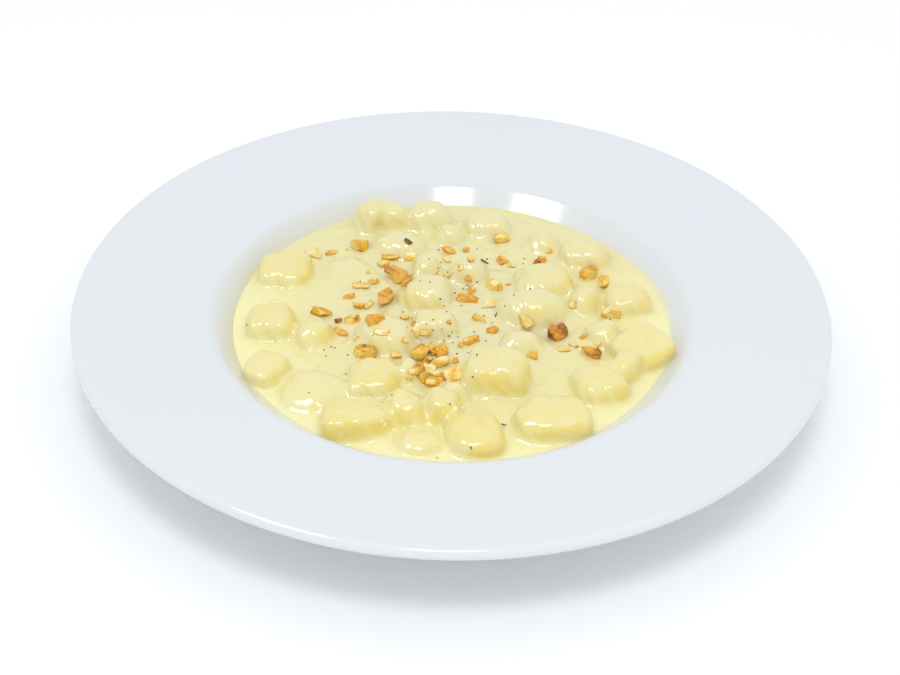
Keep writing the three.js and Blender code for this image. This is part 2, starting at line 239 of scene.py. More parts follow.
# The curves of the section that follow the well up to the lip, and from the lip back to the middle: the steps
# of each, and its control points.
up_to_lip = [
    (12, [line, wall_end]), (20, [wall_end, edge, rim_start]), (24, [rim_start, rim_middle, lip_top]),
]
back_under = [
    (8, [lip_end, under_rim]), (8, [under_rim, under_edge, under_middle]), (5, [under_middle, under_line]),
    (16, [under_line, (FLOOR_RADIUS + UNDER_PULL * FLOOR_BEND, FOOT_HEIGHT), (outer + ease, FOOT_HEIGHT)]),
    (6, [(outer + ease, FOOT_HEIGHT), (outer, FOOT_HEIGHT), (outer, ease)]),
    (6, [(outer, ease), (outer, 0), (outer - ease, 0)]),
    (4, [(outer - ease, 0), (inner + ease, 0)]),
    (6, [(inner + ease, 0), (inner, 0), (inner, ease)]),
    (6, [(inner, ease), (inner, base), (inner - 2 * ease, base)]),
    (6, [(inner - 2 * ease, base), (POLE, base)]),
]
plate_section = np.concatenate([
    well_section, *(bezier(points, steps)[1:] for steps, points in up_to_lip),
    lip_section, *(bezier(points, steps)[1:] for steps, points in back_under),
])
plate = make_piece(
    "porcelain_plate",
    closed_points((0, 0, FLOOR_HEIGHT), turned_grid(plate_section, PLATE_COLUMNS), (0, 0, base)),
    closed_faces(len(plate_section), PLATE_COLUMNS), porcelain)
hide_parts("plate")


# ---- Gnocchi, their places and sizes: potato dough rolled, cut, boiled and tossed in the sauce, so each is a
# pillow with cut ends. A row is its place across and away, length, width, turn, rise over the sauce, form,
# how far its top slopes and which way, how much dough shows and which way that faces.
ROUND, BLUNT, BLOCK, GABLE = (2.2, 2.2), (2.8, 2.7), (3.6, 3.4), (2.4, 1.8)
GNOCCHI = [
    (-35.5, 65.5, 13, 12, 50, 12, BLOCK, 18, 10, 0.5, -30),
    (-25.5, 66.5, 12, 12, 0, 10, BLUNT, 0, 0, 0.4, -40),
    (-10.5, 68.5, 19, 16, 0, 11, GABLE, 0, 0, 0.15, -90), (-1.5, 54.5, 13, 12, 0, 7, ROUND, 0, 0, 0.2, -60),
    (14.5, 64.5, 21, 14, 0, 7, BLUNT, 0, 0, 0.2, -40), (37.5, 52, 16, 14, -20, 6, ROUND, 0, 0, 0.4, -40),
    (54.5, 43, 21, 15, -25, 8, BLUNT, 0, 0, 0.4, -50), (-67.5, 28, 21, 19, 0, 7, BLOCK, 6, -100, 1.1, -10),
    (-22.5, 46, 22, 17, -15, 7, BLUNT, 0, 0, 0.2, -60), (-10.5, 30, 14, 13, 90, 7, ROUND, 0, 0, 0.2, -90),
    (-10.5, 10.5, 22, 19, 0, 9, BLUNT, 0, 0, 0.5, -130), (6.5, 26, 17, 14, 0, 9, ROUND, 0, 0, 0.2, -60),
    (36.5, 22, 24, 20, 0, 8, BLUNT, 0, 0, 0.7, -20), (31.5, 1.5, 28, 20, -5, 10, ROUND, 0, 0, 0.4, -70),
    (52.5, 9.5, 15, 13, 70, 8, ROUND, 0, 0, 0.5, -40), (69.5, 10.5, 17, 16, 15, 8, BLOCK, 6, -60, 0.8, -10),
    (73, -22, 20, 20, 42, 9, BLOCK, 14, -105, 0.8, -60), (58.5, -11.5, 15, 13, 90, 7, ROUND, 0, 0, 0.3, -60),
    (-69.5, -9.5, 18, 18, 90, 8, BLOCK, 6, 180, 1.0, -10),
    (-52.5, -16.5, 15, 14, 0, 7, BLUNT, 0, 0, 0.8, -20), (-68.5, -38, 16, 15, 60, 7, BLUNT, 0, 0, 0.6, -40),
    (-49.5, -49, 24, 23, -10, 5, ROUND, 0, 0, 0.1, -60),
    (-28.5, -43, 19, 19, 90, 7, BLOCK, 5, -90, 1.2, -10),
    (-25.5, -17.5, 23, 19, -10, 9, BLUNT, 0, 0, 0.3, -60), (-6.5, -10.5, 18, 13, 0, 8, BLOCK, 0, 0, 0.6, 0),
    (-15.5, -39, 11, 9, 90, 7, ROUND, 0, 0, 0.5, -30), (26.5, -19, 17, 14, 0, 6, ROUND, 0, 0, 0.2, -60),
    (17.5, -40, 24, 21, -8, 12, BLOCK, 6, -150, 0.8, -70), (55.5, -44, 21, 18, 10, 8, BLUNT, 0, 0, 0.9, -30),
    (65.5, -34, 13, 10, 60, 9, BLUNT, 0, 0, 0.8, -20), (-34.5, -67.5, 24, 17, 12, 9, BLOCK, 5, 90, 1.4, -90),
    (-16.5, -61.5, 17, 15, 90, 9, BLUNT, 0, 0, 1.2, -50),
    (-3.5, -60.5, 15, 14, 90, 10, BLUNT, 10, 0, 1.3, -60), (1.5, -50, 12, 10, 0, 6, ROUND, 0, 0, 0.1, -60),
    (-10.5, -76.5, 16, 12, 0, 4, ROUND, 0, 0, 0.4, -60),
    (9.5, -74.5, 20, 19, 10, 8, BLUNT, 6, -90, 1.6, -38), (37.5, -64.5, 28, 20, 5, 9, BLUNT, 0, 0, 0.8, -60),
    (-43.5, 31, 19, 17, 0, 3, ROUND, 0, 0, 0.3, -60),
]
BED, SEAT = 1.6, 0.3
HANDOVER = 0.3
SWELL_TWICE, SWELL_THRICE = 0.035, 0.025
MOUND, RIPPLE = 2.2, 0.35
RIPPLE_ACROSS, RIPPLE_AWAY, RIPPLE_ASLANT = 75.0, 88.0, 107.0
WETTING_RISE, WETTING_FADE = 0.12, 1.1
DRAPE, PULL_REACH, GAP_LIMIT = 1.5, 8, 12
BEND_FIRST, SLOWER_FIRST = 1.3, 0.61
BEND_SECOND, SLOWER_SECOND = 1.1, 0.53
ASLANT_X, ASLANT_Y = 0.45, 0.9
CALM_WIDTH, SLOPE_STEP = 8, 0.05

# The lumps and the small waves of the sauce's skin: height, crest to crest, slant across and away as they
# climb a side, and phase.
SKIN_WAVES = [(0.4, 12.5, 0.6, -0.6, 0.4), (0.24, 6.8, 0.8, -0.5, 2.0)]


def waves(x, y, crest, phase):
    """Uneven skin of thick cream: the mean of two sine waves, one across and one aslant, with crests about
    `crest` mm apart, each bent by a slower sine that runs across it."""
    k = 2 * np.pi / crest
    first = np.sin(k * x + BEND_FIRST * np.sin(SLOWER_FIRST * k * y + phase) + phase)
    aslant = k * (ASLANT_X * x + ASLANT_Y * y)
    second = np.sin(aslant + BEND_SECOND * np.sin(SLOWER_SECOND * k * x - phase) - 2 * phase)
    return 0.5 * (first + second)


def pool_height(x, y):
    """Level of the sauce: a low mound that falls to the sauce line, with slow ripples, and a lip where it
    wets the porcelain, which dies away within a few millimetres."""
    turn = 2 * np.pi
    radius = np.hypot(x, y)
    crossing = np.sin(turn * x / RIPPLE_ACROSS + 1) * np.cos(turn * y / RIPPLE_AWAY)
    ripple = crossing + np.sin(turn * (x + y) / RIPPLE_ASLANT)
    inward = np.maximum(0, 1 - (radius / LINE_RADIUS) ** 2)
    wetting = WETTING_RISE * np.exp(-np.maximum(0, LINE_RADIUS - radius) / WETTING_FADE)
    return LINE_HEIGHT + inward * (MOUND + RIPPLE * ripple) + wetting


def turning(turn, lean, towards):
    """A turn about the upright, then a lean of the top towards a direction, as a matrix."""
    hinge = Vector((-np.sin(radians(towards)), np.cos(radians(towards)), 0))
    return np.array(Matrix.Rotation(radians(lean), 3, hinge) @ Matrix.Rotation(radians(turn), 3, "Z"))


def well_height(radius):
    """Height of the porcelain under the food at a radius."""
    return np.interp(radius, well_section[:, 0], well_section[:, 1])


PLACES = np.array([row[:2] for row in GNOCCHI], float)
TOPS = pool_height(*PLACES.T) + np.array([row[5] for row in GNOCCHI])
SEATS = np.minimum(np.hypot(*PLACES.T) + SEAT * np.array([row[3] for row in GNOCCHI]), LINE_RADIUS)
FEET = well_height(SEATS) + BED
MIDDLES = np.column_stack([PLACES, (TOPS + FEET) / 2])
HALVES = np.array([(row[2] / 2, row[3] / 2, (top - foot) / 2) for row, top, foot in zip(GNOCCHI, TOPS, FEET)])
TURNS = [turning(row[4], row[7], row[8]) for row in GNOCCHI]


def pillow_gap(i, spots):
    """How far spots are outside a gnocco, along the line from its middle, negative inside: their distance
    from the middle, less that distance over the superellipsoid's norm. Its sides swell twice and three times
    round."""
    square, upright = GNOCCHI[i][6]
    local = (spots - MIDDLES[i]) @ TURNS[i]
    far = np.linalg.norm(local, axis=-1)
    x, y, z = (local / HALVES[i]).T
    side = np.arctan2(np.sign(y) * np.abs(y) ** (square / 2), np.sign(x) * np.abs(x) ** (square / 2))
    swell = 1 + SWELL_TWICE * np.sin(2 * side + i) + SWELL_THRICE * np.sin(3 * side - 2 * i)
    flat = (np.abs(x / swell) ** square + np.abs(y / swell) ** square) ** (upright / square)
    return far - far / np.maximum((flat + np.abs(z) ** upright) ** (1 / upright), 1e-6)


def pulls(spots):
    """How strongly each gnocco, and last the pool, holds the skin at some spots: exp(-gap / DRAPE)."""
    pull = np.zeros((len(GNOCCHI) + 1, len(spots)))
    for i in range(len(GNOCCHI)):
        beside = np.hypot(*(spots[:, :2] - PLACES[i]).T)
        near = np.flatnonzero(beside < PULL_REACH * DRAPE + HALVES[i, :2].max())
        pull[i, near] = np.exp(-np.clip(pillow_gap(i, spots[near]), -GAP_LIMIT, GAP_LIMIT) / DRAPE)
    height = spots[:, 2] - pool_height(spots[:, 0], spots[:, 1])
    pull[-1] = np.exp(-np.clip(height, -GAP_LIMIT, GAP_LIMIT) / DRAPE)
    return pull


def skin_waves(spots):
    """Lumps and small waves in the sauce's skin, calm at the porcelain."""
    x, y, z = spots.T
    calm = np.clip((LINE_RADIUS - np.hypot(x, y)) / CALM_WIDTH, 0, 1)
    return calm * sum(high * waves(x + across * z, y + away * z, crest, phase)
                      for high, crest, across, away, phase in SKIN_WAVES)


def above_skin(spots):
    """How far spots are above the skin that is draped over pool and gnocchi alike: the soft minimum of their
    gaps, -DRAPE ln(sum of pulls), less the waves."""
    return -DRAPE * np.log(pulls(spots).sum(0)) - skin_waves(spots)


def skin_normals(spots):
    """Outward normals of the draped skin at some spots: the slope of above_skin, by differences along the
    three axes."""
    base = above_skin(spots)
    slope = np.stack([above_skin(spots + SLOPE_STEP * axis) - base for axis in np.eye(3)], -1)
    return slope / np.maximum(np.linalg.norm(slope, axis=-1, keepdims=True), 1e-9)


SIDE_FROM, SIDE_OVER = 0.3, 0.45
EDGE_FADE, FOOT_CLEAR, TOP_CLEAR = 4, 0.3, 1.02
TOP_SHARE, TOP_FADE, TOP_FROM = 0.36, 2, 0.6


def dough_shown(spots, normals):
    """How much dough shows through the cream, in the measure that each gnocco holds the skin: in full on the
    side that its row names, between foot and top, and TOP_SHARE of that on top."""
    pull = pulls(spots)
    shown = np.zeros(len(spots))
    height = spots[:, 2] - pool_height(spots[:, 0], spots[:, 1])
    for i, row in enumerate(GNOCCHI):
        facing = normals[:, 0] * np.cos(radians(row[10])) + normals[:, 1] * np.sin(radians(row[10]))
        side = np.clip((facing - SIDE_FROM) / SIDE_OVER, 0, 1)
        rise = height / row[5]
        between = np.clip(rise * EDGE_FADE - FOOT_CLEAR, 0, 1) * np.clip((TOP_CLEAR - rise) * EDGE_FADE, 0, 1)
        on_top = TOP_SHARE * np.clip(rise * TOP_FADE - TOP_FROM, 0, 1)
        shown += pull[i] * row[9] * (side * side * (3 - 2 * side) * between + on_top)
    return shown / pull.sum(0)


# ---- Sauce: thick cream cooked with cheese, poured round the gnocchi up to the sauce line. It clings, so its
# skin climbs wherever it meets a gnocco or the porcelain, and it fills the narrow gaps.
SAUCE_STEPS, SAUCE_REACH = 296, 88.3
SMEAR_TOWARDS, SMEAR_WIDTH, SMEAR_REACH, SMEAR_THICK, SMEAR_START = 0.2, 0.5, 2.7, 0.1, 1
UNDER_GLAZE, DEEPEST_BEHIND = 0.2, 1.6
FILM_FADE, FILM_CLEAR = 0.3, 1.5
CLEAR_GAIN, CLEAR_LOSS, NORMALS_STOP = 3, 1.5, 1.5
SINK, SINK_SPAN = 2.4, 0.25
SKIN_FROM, SKIN_SPAN, SKIN_HALVINGS = 1.5, 20, 14
TURNED_IN = ((87.4, 1.9), (84.6, 1.5), (81.0, 0.8))
BED_REACH, BED_EVERY, BED_INWARD, BED_UP = 79, 8, 0.25, 0.3
RICH_FROM, RICH_OVER = 25, 60
# Painted shade: how much darker the cream is made at the far side, and over what distance.
FAR_SHADE, FAR_SHADE_OVER, DOUGH_LOSS = 0.6, 60, 0.45

# Cream sauce: milk fat scatters the light, so it is soft and pale, brighter and yellower towards the
# porcelain and darker towards the far side, which is painted shade, and wet enough for small glints. Where
# dough shows through, it is golden and streaky.
STREAK_WIDE, PUCKER_WIDE, PUCKER_DEEP = 5.88, 4.17, 0.4

cream, tree = new_material("cream_sauce")


def cream_look(tree):
    """Colour, small relief and gloss of the skin, from its attributes: its tone, which carries painted shade,
    how bare it is and how thin.
    """
    place = add(tree, "TexCoord").outputs["Object"]
    tone_and_shade = add(tree, "Attribute", attribute_name="tone_and_shade").outputs["Fac"]
    # Darker at 0 and brighter at 1; low values also carry the painted shade towards the far side.
    pale = add(tree, "ValToRGB", {"Fac": tone_and_shade}, stops=[
        (0.0, linear("#e4ddac")), (0.5, linear("#e9e0a4")), (1.0, linear("#f4efb6"))])
    bare = add(tree, "Attribute", attribute_name="bare").outputs["Fac"]
    streak = add(tree, "TexNoise", {
        "Vector": place, "Scale": 1000 / STREAK_WIDE, "Detail": 2.0, "Distortion": 0.6})
    shift = add(tree, "MapRange", {
        "Value": streak.outputs["Fac"], "From Min": 0.36, "From Max": 0.62, "To Min": 0.45, "To Max": 1.3})
    patchy = add(tree, "Math", {0: bare, 1: shift.outputs["Result"]}, operation="MULTIPLY", use_clamp=True)
    golden = add(tree, "Mix", {
        "Factor": patchy.outputs["Value"], "A": pale.outputs["Color"], "B": linear("#e9d478")},
        data_type="RGBA")
    thin = add(tree, "Attribute", attribute_name="thin").outputs["Fac"]
    tone = add(tree, "Mix", {
        "Factor": thin, "A": golden.outputs["Result"], "B": linear("#dcdfe2")}, data_type="RGBA")
    pucker = add(tree, "TexNoise", {"Vector": place, "Scale": 1000 / PUCKER_WIDE, "Detail": 1.0})
    relief = add(tree, "Bump", {
        "Height": pucker.outputs["Fac"], "Strength": 0.25, "Distance": 0.001 * PUCKER_DEEP})
    shader = add(tree, "BsdfPrincipled", {
        "Base Color": tone.outputs["Result"], "Roughness": 0.15, "IOR": 1.45,
        "Normal": relief.outputs["Normal"]})
    add(tree, "OutputMaterial", {"Surface": shader.outputs["BSDF"]})


cream_look(tree)


def skin_height(x, y):
    """Height of the draped skin over some places, by halving the space between the pool's level and the
    tallest gnocco until the skin is met."""
    low = pool_height(x, y) - SKIN_FROM
    high = low + SKIN_SPAN
    for _ in range(SKIN_HALVINGS):
        middle = (low + high) / 2
        under = above_skin(np.column_stack([x, y, middle])) < 0
        low, high = np.where(under, middle, low), np.where(under, high, middle)
    return high


def wall_height(radius):
    """Height of the well's wall at a radius, carried on straight from the sauce line."""
    return LINE_HEIGHT + (radius - LINE_RADIUS) * steep[1] / steep[0]


def porcelain_height(radius):
    """Height of the porcelain at one radius: the wall past the sauce line, and the well inside it."""
    return float(wall_height(radius) if radius > LINE_RADIUS else well_height(radius))


step = np.linspace(-1, 1, SAUCE_STEPS)
across, away = np.meshgrid(step, step)
disc = SAUCE_REACH * np.stack([across * np.sqrt(1 - away ** 2 / 2), away * np.sqrt(1 - across ** 2 / 2)], -1)
x, y = disc[..., 0].ravel(), disc[..., 1].ravel()
radius, angle = np.hypot(x, y), np.arctan2(y, x)

# The sauce's surface: the draped skin, sunk by (SINK + rise) (over / SINK_SPAN)^2, where rise is its height
# over the pool's level, and over is how far one gnocco's share is over HANDOVER, or all of theirs over twice
# that. Past the sauce line it runs on inside the porcelain, but for a smear on the right that wets the wall.
skin = np.column_stack([x, y, skin_height(x, y)])
upward = skin_normals(skin)
shown = dough_shown(skin, upward)
pull = pulls(skin)
held = pull.sum(0)
over = np.maximum(pull[:-1].max(0) / held - HANDOVER, 1 - pull[-1] / held - 2 * HANDOVER)
rise = np.maximum(0, skin[:, 2] - pool_height(x, y))
skin[:, 2] -= (SINK + rise) * np.clip(over / SINK_SPAN, 0, 1) ** 2

# How clear of gnocchi the skin is: 0 where they hold half of it, and 1 where they hold a sixth or less.
clear = np.clip(CLEAR_GAIN * (pull[-1] / held) - CLEAR_LOSS, 0, 1)
smear = SMEAR_REACH * np.exp(-((angle - SMEAR_TOWARDS) / SMEAR_WIDTH) ** 2) * clear
at_wall = radius > LINE_RADIUS - SMEAR_START
along = np.clip((radius - LINE_RADIUS + SMEAR_START) / (smear + SMEAR_START), 0, 2)
wetted = wall_height(radius) + SMEAR_THICK * (1 - along) - UNDER_GLAZE * np.clip(1 - smear, 0, 1)
skin[:, 2] = np.maximum(skin[:, 2], np.where(at_wall, wetted, -np.inf))
skin[:, 2] = np.maximum(skin[:, 2], wall_height(radius) - DEEPEST_BEHIND)
wall_tint = np.clip(FILM_CLEAR - (skin[:, 2] - wall_height(radius)) / FILM_FADE, 0, 1) * clear
wet = np.clip(along, 0, 1) * at_wall * np.clip(smear, 0, 1) * wall_tint

# Round the border inside the porcelain, and along the underside, a little off the well, down to its middle.
grid = np.arange(SAUCE_STEPS ** 2).reshape(SAUCE_STEPS, SAUCE_STEPS)
skin_faces = np.stack([grid[:-1, :-1], grid[:-1, 1:], grid[1:, 1:], grid[1:, :-1]], -1).reshape(-1, 4)
border = np.concatenate([grid[0, :-1], grid[:-1, -1], grid[-1, :0:-1], grid[:0:-1, 0]])
round_edge = np.stack([np.cos(angle[border]), np.sin(angle[border])], -1)
count = len(border)
turned_in = [(r, porcelain_height(r) - depth) for r, depth in TURNED_IN]
off_well = [(r - BED_INWARD, z + BED_UP) for r, z in well_section[::-BED_EVERY] if r < BED_REACH]
below = [np.column_stack([r * round_edge, np.full(count, z)]) for r, z in turned_in + off_well]
rows = len(below)
ring = np.concatenate([border[None], len(skin) + np.arange(rows * count).reshape(rows, count)])
onward = np.roll(ring, -1, 1)
side_faces = np.stack([ring[:-1], ring[1:], onward[1:], onward[:-1]], -1).reshape(-1, 4)
bottom = len(skin) + rows * count
end_faces = np.stack([np.full(count, bottom), onward[-1], ring[-1]], -1)
points = np.concatenate([skin, *below, [(0, 0, FLOOR_HEIGHT + BED_UP)]])


def cream_tone_and_shade(spots):
    """How yellow and bright the cream is: least in the middle of the plate and most at the porcelain, less
    over the gnocchi, and darker towards the far side, which is painted shade."""
    outward = np.clip((np.hypot(spots[:, 0], spots[:, 1]) - RICH_FROM) / RICH_OVER, 0, 1)
    # Painted shade: the cream is made darker towards the far side.
    far_off = np.clip(spots[:, 1] / FAR_SHADE_OVER, 0, 1)
    pull = pulls(spots)
    return outward * (1 - FAR_SHADE * far_off) * (1 - DOUGH_LOSS * pull[:-1].sum(0) / pull.sum(0))


# The skin is shaded by its own normals, up to NORMALS_STOP short of the porcelain.
bare, thin, normals = np.zeros(len(points)), np.zeros(len(points)), np.zeros((len(points), 3))
bare[:len(skin)], thin[:len(skin)] = shown, wet
normals[:len(skin)] = upward * (radius < LINE_RADIUS - NORMALS_STOP)[:, None]
sauce = make_piece("cream_sauce_pool", points, [skin_faces, side_faces, end_faces], cream,
                   {"tone_and_shade": cream_tone_and_shade(points), "bare": bare, "thin": thin}, normals)
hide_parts("sauce")


# ---- Gnocchi, their bodies: above the sauce each carries the skin that is draped over it, down to a skirt
# that runs out under the sauce's skin; below, it closes to the pillow's underside on its bed of sauce.
GNOCCO_COLUMNS, TOP_RINGS, UNDER_RINGS, FINE_RINGS = 112, 34, 8, 260
SIDE_TOP, SKIRT_RISES = 1.0, (0.85, 0.7, 0.56, 0.43, 0.32, 0.22, 0.14, 0.08, -0.5, -1.5)
SKIRT, DIP, SEARCH_STEPS, SEARCH_HALVINGS = 2.4, 0.7, 12, 7
DIVE, DIVE_SPAN, WELL_GAP = 0.4, 0.2, 0.35
HIDDEN_DEPTH, HIDDEN_REACH, FLOOR_STOP = 2.2, 90, 2
FIRST_RING, SIDE_END = 0.02, -np.pi / 3
UNDER_FROM, UNDER_TO, UNDER_BELOW = 0.12, 0.94, 0.5

# Potato dough under a film of cream: the same look as the sauce, golden where the film has run off a side.
dough, tree = new_material("boiled_potato_dough")
cream_look(tree)


def bent(value, exponent):
    """A sine or cosine flattened so that a circle becomes a superellipse."""
    return np.sign(value) * np.abs(value) ** (2 / exponent)


def inside_well(spots):
    """Spots drawn in where they would pass through the porcelain, to WELL_GAP from it."""
    wall = np.concatenate([well_section[FLOOR_STEPS:], [edge]])
    radius = np.hypot(spots[..., 0], spots[..., 1])
    room = np.interp(spots[..., 2], wall[:, 1], wall[:, 0]) - WELL_GAP
    share = np.minimum(1, room / np.maximum(radius, 1e-6))
    floor = well_height(np.minimum(radius, LINE_RADIUS)) + WELL_GAP
    lifted = np.maximum(spots[..., 2], np.where(radius < LINE_RADIUS - FLOOR_STOP, floor, -np.inf))
    return np.stack([spots[..., 0] * share, spots[..., 1] * share, lifted], -1)


def hidden_in_wall(spots):
    """Past the sauce line, a height inside the porcelain of the wall; elsewhere no height."""
    radius = np.hypot(spots[:, 0], spots[:, 1])
    inside = wall_height(np.minimum(radius, HIDDEN_REACH)) - HIDDEN_DEPTH
    return np.where(radius > LINE_RADIUS, inside, -np.inf)


def pillow_rings(i, latitude):
    """Rings of a gnocco's own superellipsoid at some latitudes, without waves or cream."""
    square, upright = GNOCCHI[i][6]
    side = np.linspace(0, 2 * np.pi, GNOCCO_COLUMNS, endpoint=False)
    swell = 1 + SWELL_TWICE * np.sin(2 * side + i) + SWELL_THRICE * np.sin(3 * side - 2 * i)
    plan = np.stack([bent(np.cos(side), square), bent(np.sin(side), square)], -1)
    plan = plan * (swell[:, None] * HALVES[i, :2])
    flat = plan[None] * bent(np.cos(latitude), upright)[:, None, None]
    height = (HALVES[i, 2] * bent(np.sin(latitude), upright))[:, None, None]
    spots = np.concatenate([flat, np.broadcast_to(height, flat.shape[:2] + (1,))], -1)
    return MIDDLES[i] + spots @ TURNS[i].T


def down_the_side(i):
    """Rings down a gnocco's side: TOP_RINGS at even steps of the way from its top to SIDE_TOP over the sauce,
    and then one at each of SKIRT_RISES over it."""
    fine = pillow_rings(i, np.linspace(np.pi / 2, SIDE_END, FINE_RINGS))
    steps = np.linalg.norm(np.diff(fine, axis=0), axis=-1)
    way = np.concatenate([np.zeros((1, GNOCCO_COLUMNS)), np.cumsum(steps, 0)])
    level = pool_height(*PLACES[i])
    targets = []
    for rise in (SIDE_TOP, *SKIRT_RISES):
        last = len(fine) - 2 - np.argmax(fine[-2::-1, :, 2] >= level + rise, axis=0)
        targets.append(np.take_along_axis(way, last[None], 0)[0])
    share = np.linspace(FIRST_RING, 1, TOP_RINGS)[:, None]
    targets = np.concatenate([share * targets[0], targets[1:]])
    after = np.clip((way[None] < targets[:, None]).sum(1), 1, len(fine) - 1)
    before, beyond = (np.take_along_axis(way, k, 0) for k in (after - 1, after))
    part = np.clip((targets - before) / np.maximum(beyond - before, 1e-9), 0, 1)[..., None]
    start, end = (np.take_along_axis(fine, k[..., None], 0) for k in (after - 1, after))
    return start + part * (end - start)


def out_to_skin(i, spots):
    """Spots on a gnocco's own surface, moved straight out from DIP inside it until they meet the draped skin,
    but by SKIRT at most: beyond that the pool or a neighbour holds it, and they stay hidden under it."""
    base = pillow_gap(i, spots)
    outward = np.stack([pillow_gap(i, spots + SLOPE_STEP * axis) - base for axis in np.eye(3)], -1)
    outward /= np.maximum(np.linalg.norm(outward, axis=-1, keepdims=True), 1e-9)
    near = np.full(len(spots), -1.0)
    far = np.full(len(spots), np.nan)
    for reach in np.linspace(-DIP, SKIRT, SEARCH_STEPS):
        open_yet = np.flatnonzero(np.isnan(far))
        met = above_skin(spots[open_yet] + reach * outward[open_yet]) >= 0
        far[open_yet[met]] = reach
        near[open_yet[~met]] = reach
    found = np.flatnonzero(~np.isnan(far))
    low, high = near[found], far[found]
    for _ in range(SEARCH_HALVINGS):
        middle = (low + high) / 2
        inside = above_skin(spots[found] + middle[:, None] * outward[found]) < 0
        low, high = np.where(inside, middle, low), np.where(inside, high, middle)
    reach = np.full(len(spots), SKIRT)
    reach[found] = high
    return spots + reach[:, None] * outward


def gnocco_body(i):
    """Rings from the top to the underside: down the side on the draped skin, diving by
    DIVE ((HANDOVER - share) / DIVE_SPAN)^2 where others hold it, and then the lower half of the pillow. Also
    how much dough shows, and the skin's normals."""
    side = down_the_side(i)
    spots = out_to_skin(i, side.reshape(-1, 3))
    normals = skin_normals(spots)
    pull = pulls(spots)
    shown = dough_shown(spots, normals)
    dive = DIVE * np.clip((HANDOVER - pull[i] / pull.sum(0)) / DIVE_SPAN, 0, 1) ** 2
    spots = spots - normals * dive[:, None]
    spots[:, 2] = np.maximum(spots[:, 2], hidden_in_wall(spots))
    under = pillow_rings(i, -np.pi / 2 * np.linspace(UNDER_FROM, UNDER_TO, UNDER_RINGS))
    under[..., 2] = np.minimum(under[..., 2], pool_height(*PLACES[i]) + SKIRT_RISES[-1] - UNDER_BELOW)
    under = inside_well(under)
    rest = UNDER_RINGS * GNOCCO_COLUMNS
    return (np.concatenate([spots.reshape(side.shape), under]), np.concatenate([shown, np.zeros(rest)]),
            np.concatenate([normals, np.zeros((rest, 3))]))


for i in range(len(GNOCCHI)):
    grid, shown, normals = gnocco_body(i)
    points = closed_points(grid[0].mean(0), grid, (*PLACES[i], FEET[i]))
    shown = np.concatenate([[shown[:GNOCCO_COLUMNS].mean()], shown, [0]])
    normals = np.concatenate([[normals[:GNOCCO_COLUMNS].mean(0)], normals, [(0, 0, 0)]])
    looks = {"tone_and_shade": cream_tone_and_shade(points), "bare": shown, "thin": np.zeros(len(points))}
    piece = make_piece(f"gnocco_body_{i + 1:02d}", points, closed_faces(len(grid), GNOCCO_COLUMNS), dough,
                       looks, normals)
    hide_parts(f"gnocco_{i + 1:02d}")


# ---- Walnut: kernels chopped with a knife, so a piece has flat cut faces, pale or oily gold, and now and
# then a face that keeps the brown skin. A row is length, width, thickness, turn, tilt and colouring.
WALNUTS = [
    (10, 7, 6, 0, 10, "gold"), (8, 6, 6.5, 40, -20, "gold"), (10, 8, 6, -15, 15, "gold"),
    (9.5, 6.5, 5.5, 5, -15, "gold"), (8, 7, 6, 10, 20, "gold"), (7.5, 6, 6, 20, 10, "pale"),
    (10, 7, 6, 20, -10, "gold"), (8.5, 7, 7, 70, 0, "skin"), (7.5, 6, 5, -15, 15, "gold"),
    (8, 6, 4.5, -10, 0, "gold"), (8, 6, 4.5, 20, 0, "gold"), (9, 5.5, 4.5, 5, 10, "pale"),
    (10, 6, 4.5, -5, -10, "pale"), (8, 5, 4.5, 15, 0, "gold"), (9.5, 5, 4.5, -10, 10, "gold"),
    (6.5, 6, 5.5, 30, 0, "gold"), (9, 5, 6, 60, 20, "pale"), (6.5, 6.5, 6, 45, -15, "gold"),
    (6.5, 6, 5, 20, 10, "gold"), (8, 5, 4, -15, 0, "pale"),
]
TONES = {"pale": (0.0, 0.1, 0.2, 0.4), "gold": (0.22, 0.4, 0.52, 0.66), "skin": (0.5, 0.75, 0.85, 1.0)}
CUTS, CUT_NEAR, CUT_FAR, CUT_SHARP = 9, 0.5, 0.95, 34
BOX_NEAR, BOX_FAR, GRAZING = 0.9, 1.05, 0.04
BITES, BITE_TIGHT, BITE_WIDE, BITE_SHALLOW, BITE_DEEP, BITE_LIMIT = 8, 0.012, 0.09, 0.08, 0.36, 0.45
CRUMPLE, CRUMPLE_CREST, CRUMPLE_SPREAD, CRUMPLE_ACROSS, CRUMPLE_AWAY = 0.045, 1.7, 5, 3, -2
EDGE_BROWN, BITE_BROWN = 0.75, 0.25
WALNUT_RINGS, WALNUT_COLUMNS, WALNUT_SEED, TILT_ASIDE = 44, 64, 3, 60

# Walnut flesh and skin: pale where it is freshly cut, golden in clouds where oil has soaked in, and brown
# along the edges that keep the skin. Its crumb is drawn coarser than the real one, so that it shows.
OIL_CLOUD, CRUMB_WIDE, CRUMB_DEEP = 3.85, 1.43, 0.8

